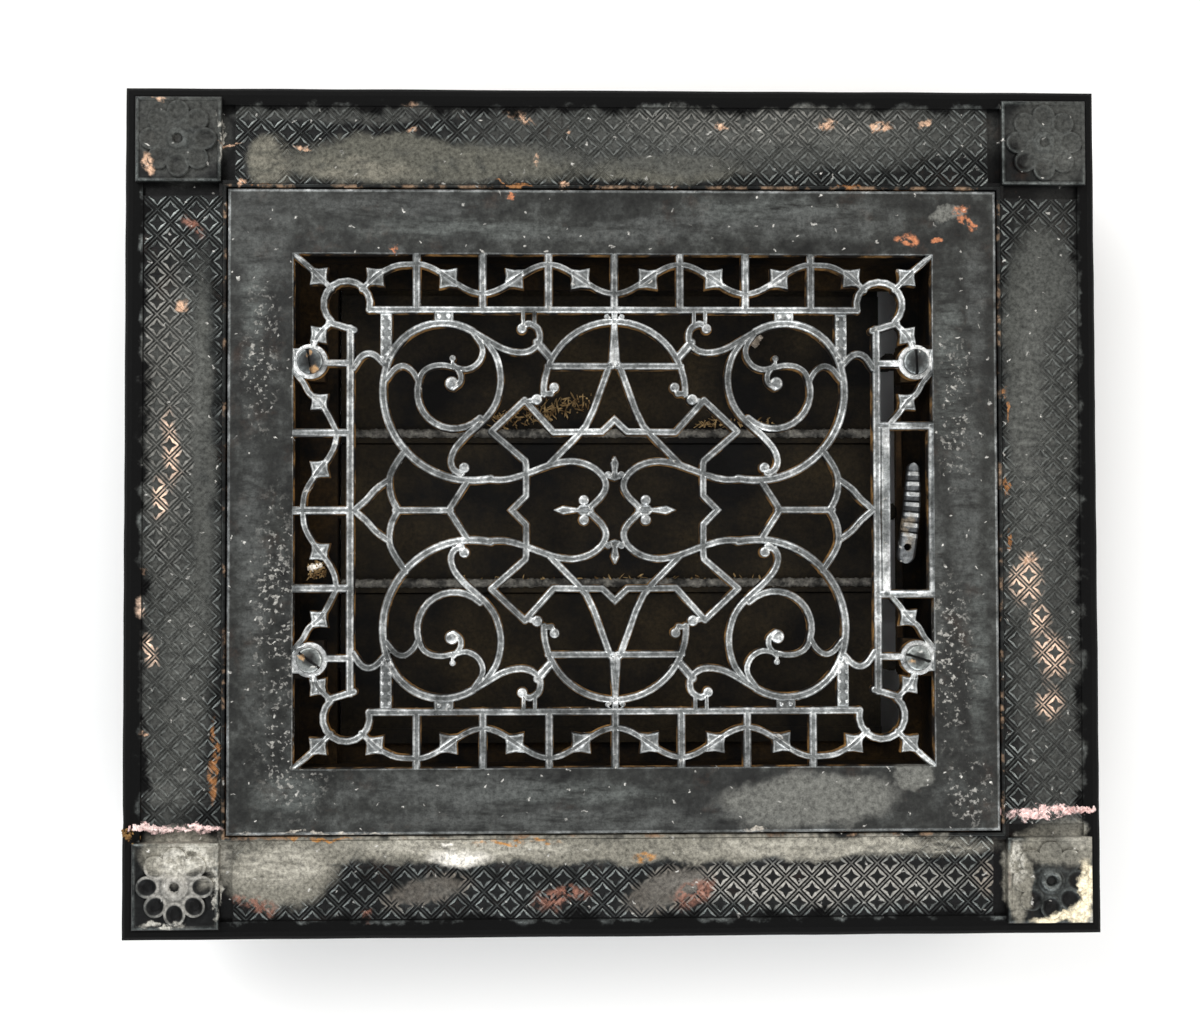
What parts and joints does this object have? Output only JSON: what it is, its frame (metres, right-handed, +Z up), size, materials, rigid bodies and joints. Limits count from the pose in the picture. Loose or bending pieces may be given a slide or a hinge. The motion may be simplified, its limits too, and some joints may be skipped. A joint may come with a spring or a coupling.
{
  "type": "cast iron floor register",
  "caption": "Cast iron floor register: lattice border frame with rosette corner blocks, openwork scroll grille, and a box of louvers worked by a thumb lever.",
  "frame": {"origin": "under the middle of the grille, on the plane of the valve box's lower rim", "axes": "+X along the long side towards the thumb lever, +Y across towards the upper edge of the pictured view, +Z up out of the floor"},
  "size_m": [0.3916, 0.3408, 0.0722],
  "materials": {
    "border_iron": "old blackened cast iron with plaster dust, smears and rust in the hollows",
    "face_iron": "slate grey cast iron, ribs worn bright on their ridges",
    "box_iron": "unpainted cast iron, rusty brown",
    "louver_iron": "unpainted cast iron, dull olive brown with rust",
    "link_iron": "rusty iron bar",
    "lever_iron": "iron rubbed bright by use",
    "screw_steel": "dull iron screws with dirt in the slots"
  },
  "bodies": {
    "root": {"border_frame": "border_iron", "register_grille": "face_iron", "valve_box": "box_iron", "screw_upper_left": "screw_steel", "screw_upper_right": "screw_steel", "screw_lower_left": "screw_steel", "screw_lower_right": "screw_steel"},
    "upper_louver": {"louver_upper": "louver_iron"},
    "middle_louver": {"louver_middle": "louver_iron"},
    "lower_louver": {"louver_lower": "louver_iron"},
    "shutter_link": {"link_bar": "link_iron", "thumb_lever": "lever_iron"}
  },
  "joints": [
    {"name": "middle_louver_pivot", "type": "hinge", "parent": "root", "child": "middle_louver", "pos_m": [0, 0, 0.032], "axis": [-1, 0, 0], "range_deg": [0, 60]},
    {"name": "upper_louver_pivot", "type": "hinge", "parent": "root", "child": "upper_louver", "pos_m": [0, 0.062, 0.032], "axis": [-1, 0, 0], "range_deg": [0, 60]},
    {"name": "lower_louver_pivot", "type": "hinge", "parent": "root", "child": "lower_louver", "pos_m": [0, -0.062, 0.032], "axis": [-1, 0, 0], "range_deg": [0, 60]},
    {"name": "link_pivot", "type": "hinge", "parent": "middle_louver", "child": "shutter_link", "pos_m": [0.118, 0, 0.0435], "axis": [-1, 0, 0], "range_deg": [-60, 0]}
  ],
  "couplings": [
    {"joint": "upper_louver_pivot", "follows": "middle_louver_pivot", "ratio": 1},
    {"joint": "lower_louver_pivot", "follows": "middle_louver_pivot", "ratio": 1},
    {"joint": "link_pivot", "follows": "middle_louver_pivot", "ratio": -1}
  ]
}
